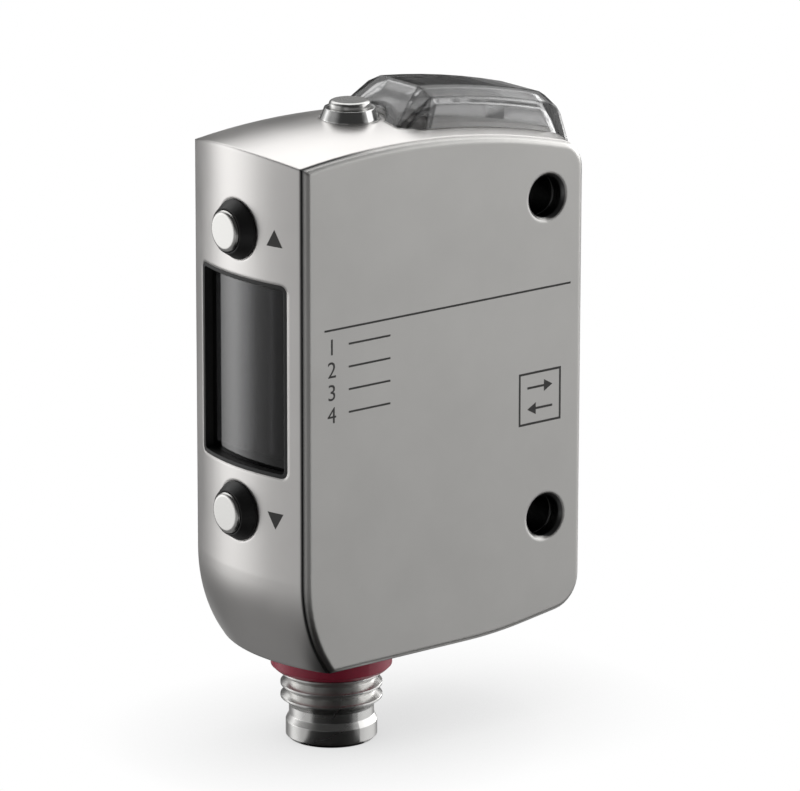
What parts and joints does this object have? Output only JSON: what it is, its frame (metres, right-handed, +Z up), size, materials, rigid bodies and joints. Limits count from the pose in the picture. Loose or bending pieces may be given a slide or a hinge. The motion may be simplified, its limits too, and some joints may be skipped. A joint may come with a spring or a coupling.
{
  "type": "laser photoelectric sensor",
  "caption": "Flat upright laser photoelectric sensor with two through holes, a display window between push buttons, a smoked indicator on top and a round threaded plug connection below.",
  "frame": {"origin": "midway between the two mounting holes, in the middle of the housing's thickness", "axes": "+Z up, +Y along the beam, out of the lens face, and +X out of the side that carries the cover, along the mounting holes"},
  "size_m": [0.0138, 0.0299, 0.051],
  "materials": {
    "case_steel": "fine satin stainless steel",
    "cover_steel": "fine satin stainless steel",
    "cap_steel": "light satin stainless steel",
    "collar_steel": "turned, bright",
    "black_rubber": "matte",
    "smoked_window": "smoked, glossy",
    "lens_glass": "clear, polished",
    "dark_filter": "very dark red, polished",
    "smoked_indicator": "smoked, glossy",
    "clear_guide": "clear",
    "black_plastic": "fine satin",
    "circuit_board": "green solder mask",
    "chip_black": "matte",
    "diode_metal": "gold plated",
    "lamp_body": "milky",
    "flex_film": "amber film",
    "plug_metal": "bright nickel",
    "red_plastic": "deep red, satin gloss",
    "pin_gold": "gold plated"
  },
  "bodies": {
    "housing": {"main_case": "case_steel", "side_cover": "cover_steel", "cover_seal": "black_rubber", "lens_window": "dark_filter", "window_gasket": "black_rubber", "optics_holder": "black_plastic", "emitter_lens": "lens_glass", "receiver_lens": "lens_glass", "laser_diode": "diode_metal", "image_sensor": "chip_black", "sensor_board": "circuit_board", "main_board": "circuit_board", "board_chips": "chip_black", "display_board": "circuit_board", "digit_module": "black_plastic", "display_window": "smoked_window", "display_gasket": "black_rubber", "button_seals": "black_rubber", "face_switches": "black_plastic", "set_collar": "collar_steel", "set_switch": "black_plastic", "top_board": "circuit_board", "indicator_leds": "lamp_body", "light_guide": "clear_guide", "indicator_cover": "smoked_indicator", "indicator_seal": "black_rubber", "connector_shell": "plug_metal", "connector_ring": "red_plastic", "connector_insert": "black_plastic", "contact_pins": "pin_gold", "connector_board": "circuit_board", "display_flex": "flex_film", "top_flex": "flex_film", "sensor_flex": "flex_film", "connector_flex": "flex_film"},
    "up_key": {"up_button": "cap_steel"},
    "down_key": {"down_button": "cap_steel"},
    "set_key": {"set_button": "cap_steel"}
  },
  "joints": [
    {"name": "up_button_press", "type": "slide", "parent": "housing", "child": "up_key", "axis": [0, 1, 0], "range_m": [0, 0.0003], "stiffness_N_per_m": 2500, "springref_m": -0.0003},
    {"name": "down_button_press", "type": "slide", "parent": "housing", "child": "down_key", "axis": [0, 1, 0], "range_m": [0, 0.0003], "stiffness_N_per_m": 2500, "springref_m": -0.0003},
    {"name": "set_button_press", "type": "slide", "parent": "housing", "child": "set_key", "axis": [0, 0, -1], "range_m": [0, 0.0003], "stiffness_N_per_m": 2500, "springref_m": -0.0003}
  ]
}
